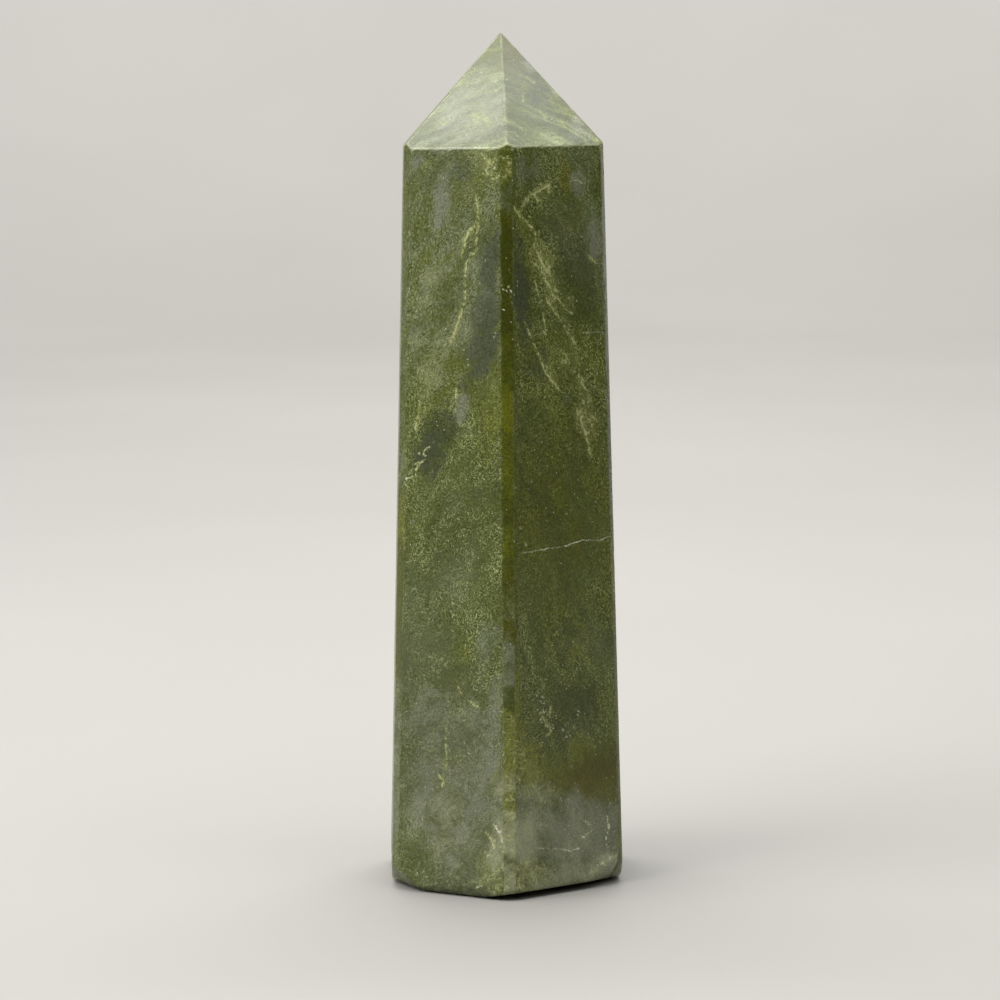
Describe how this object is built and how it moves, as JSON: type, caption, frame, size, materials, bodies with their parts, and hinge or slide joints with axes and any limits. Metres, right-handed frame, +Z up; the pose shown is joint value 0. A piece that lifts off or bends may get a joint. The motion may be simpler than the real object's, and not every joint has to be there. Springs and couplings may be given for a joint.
{
  "type": "vesuvianite tower",
  "caption": "Polished green stone tower, hexagonal and tapering to a pointed tip, with chamfered long edges and a flat base that it stands on.",
  "frame": {"origin": "middle of the stone's box, on the surface that it stands on", "axes": "+Z up from the flat base to the tip, -Y towards the front corner, +X to the right of it"},
  "size_m": [0.0278, 0.0308, 0.1],
  "materials": {
    "stone": "satin polish, mottled olive green with grey patches and pale veins"
  },
  "bodies": {
    "root": {"tower": "stone"}
  },
  "joints": []
}
